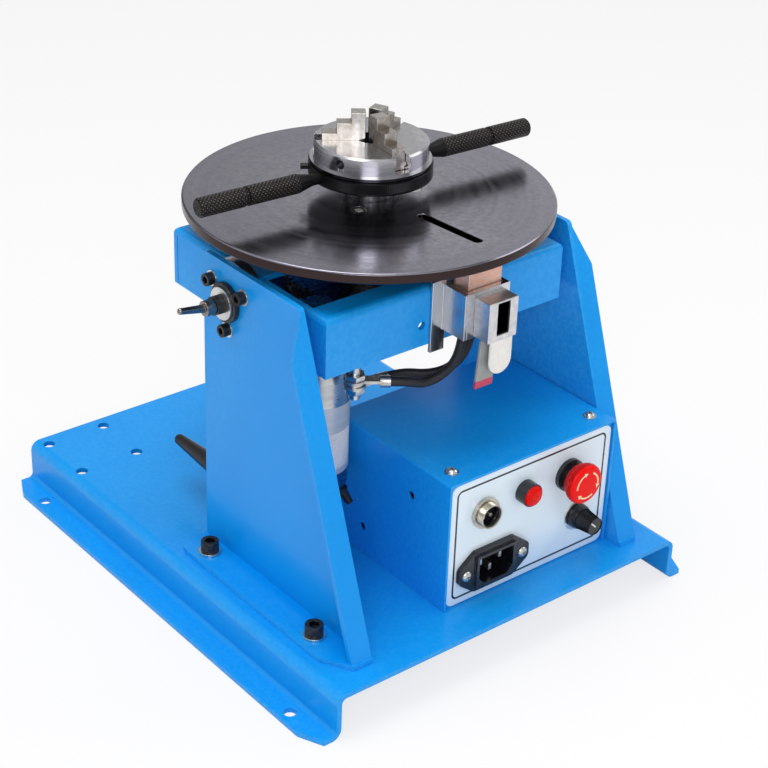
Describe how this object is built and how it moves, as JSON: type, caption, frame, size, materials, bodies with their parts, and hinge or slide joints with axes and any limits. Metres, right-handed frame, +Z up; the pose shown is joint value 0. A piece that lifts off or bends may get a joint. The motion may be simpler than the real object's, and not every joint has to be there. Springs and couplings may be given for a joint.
{
  "type": "welding positioner",
  "caption": "Benchtop welding positioner with a tilting motor-driven turntable, a lever-scroll three-jaw chuck and a control box on a blue sheet-steel base.",
  "frame": {"origin": "on the floor, centre of the four holes in the base flanges", "axes": "+Z up, -Y towards the operator and the control panel, +X to the panel's right"},
  "size_m": [0.271, 0.305, 0.2684],
  "materials": {
    "blue_paint": "gloss",
    "black_oxide": "satin",
    "zinc_steel": "satin",
    "aluminium": "satin",
    "table_steel": "polished",
    "knurled_steel": "knurled",
    "black_plastic": "satin",
    "black_rubber": "matte",
    "copper": "satin",
    "tinned_brass": "satin",
    "grey_sheet": "matte",
    "white_sheet": "satin",
    "panel_film": "gloss",
    "chrome": "polished",
    "red_lens": "gloss",
    "red_plastic": "gloss"
  },
  "bodies": {
    "stand": {"base_plate": "blue_paint", "left_bracket": "blue_paint", "right_bracket": "blue_paint", "foot_screws": "black_oxide", "bracket_washers": "zinc_steel", "pivot_bearings": "aluminium", "pivot_screws": "black_oxide", "control_box": "blue_paint", "control_cover": "blue_paint", "panel_screws": "zinc_steel", "front_panel": "panel_film", "power_inlet": "black_plastic", "connector_pins": "tinned_brass", "pedal_socket": "chrome", "lamp_bezel": "black_plastic", "lamp_lens": "red_lens", "stop_collar": "black_plastic", "speed_control": "aluminium", "power_supply": "zinc_steel"},
    "cradle": {"tilt_frame": "blue_paint", "pivot_studs": "black_oxide", "clamp_disc": "black_oxide", "clamp_washer": "zinc_steel", "clamp_nut": "black_oxide", "bearing_housing": "aluminium", "housing_screws": "black_oxide", "bearing_outer_races": "zinc_steel", "motor_plate": "black_oxide", "gearbox": "aluminium", "motor_can": "aluminium", "motor_end_cap": "black_plastic", "motor_boots": "black_rubber", "brush_bracket": "zinc_steel", "brush_holder": "zinc_steel", "brush_spring": "zinc_steel", "brush_clamp": "zinc_steel", "grey_tab": "grey_sheet", "white_tab": "white_sheet", "earth_cable_front": "black_rubber", "earth_cable_rear": "black_rubber", "cable_lugs": "tinned_brass", "earth_stud": "zinc_steel", "tilt_handle": "black_plastic"},
    "turntable": {"table_disc": "table_steel", "spindle": "zinc_steel", "bearing_inner_races": "zinc_steel", "drive_gear": "table_steel", "table_screws": "black_oxide", "chuck_stem": "zinc_steel", "chuck_body": "zinc_steel"},
    "motor_pinion": {"pinion": "zinc_steel"},
    "scroll": {"scroll_ring": "zinc_steel", "lever_bars": "knurled_steel"},
    "jaw_a": {"jaw_1": "zinc_steel"},
    "jaw_b": {"jaw_2": "zinc_steel"},
    "jaw_c": {"jaw_3": "zinc_steel"},
    "brush": {"brush_block": "copper"},
    "tilt_lock": {"clamp_lever": "zinc_steel"},
    "stop_head": {"stop_button": "red_plastic"},
    "speed_head": {"speed_knob": "black_plastic"}
  },
  "joints": [
    {"name": "tilt", "type": "hinge", "parent": "stand", "child": "cradle", "pos_m": [0, -0.0165, 0.184], "axis": [-1, 0, 0], "range_deg": [0, 90]},
    {"name": "table_spin", "type": "hinge", "parent": "cradle", "child": "turntable", "pos_m": [0, -0.0165, 0.2195], "axis": [0, 0, 1], "continuous": true},
    {"name": "pinion_spin", "type": "hinge", "parent": "cradle", "child": "motor_pinion", "pos_m": [-0.052, -0.04162, 0.175], "axis": [0, 0, 1], "continuous": true},
    {"name": "scroll_turn", "type": "hinge", "parent": "turntable", "child": "scroll", "pos_m": [0, -0.0165, 0.238], "axis": [0, 0, 1], "range_deg": [0, 360]},
    {"name": "brush_press", "type": "slide", "parent": "cradle", "child": "brush", "axis": [0, 0, 1], "range_m": [-0.006, 0], "stiffness_N_per_m": 400, "springref_m": 0.004, "deforming": ["brush_spring"]},
    {"name": "tilt_lock_turn", "type": "hinge", "parent": "cradle", "child": "tilt_lock", "pos_m": [-0.104, -0.0165, 0.184], "axis": [-1, 0, 0], "range_deg": [-90, 90]},
    {"name": "stop_press", "type": "slide", "parent": "stand", "child": "stop_head", "axis": [0, 1, 0], "range_m": [0, 0.004], "stiffness_N_per_m": 900, "springref_m": -0.004},
    {"name": "speed_turn", "type": "hinge", "parent": "stand", "child": "speed_head", "pos_m": [0.0642, -0.1278, 0.0524], "axis": [0, 1, 0], "range_deg": [0, 300]},
    {"name": "jaw_a_slide", "type": "slide", "parent": "turntable", "child": "jaw_a", "axis": [0.9135, 0.4067, 0], "range_m": [0, 0.0061]},
    {"name": "jaw_b_slide", "type": "slide", "parent": "turntable", "child": "jaw_b", "axis": [-0.809, 0.5878, 0], "range_m": [0, 0.0061]},
    {"name": "jaw_c_slide", "type": "slide", "parent": "turntable", "child": "jaw_c", "axis": [-0.1045, -0.9945, 0], "range_m": [0, 0.0061]}
  ],
  "couplings": [
    {"joint": "pinion_spin", "follows": "table_spin", "ratio": -3.2778},
    {"joint": "jaw_a_slide", "follows": "scroll_turn", "m_per_rad": 0.00095493},
    {"joint": "jaw_b_slide", "follows": "scroll_turn", "m_per_rad": 0.00095493},
    {"joint": "jaw_c_slide", "follows": "scroll_turn", "m_per_rad": 0.00095493}
  ]
}
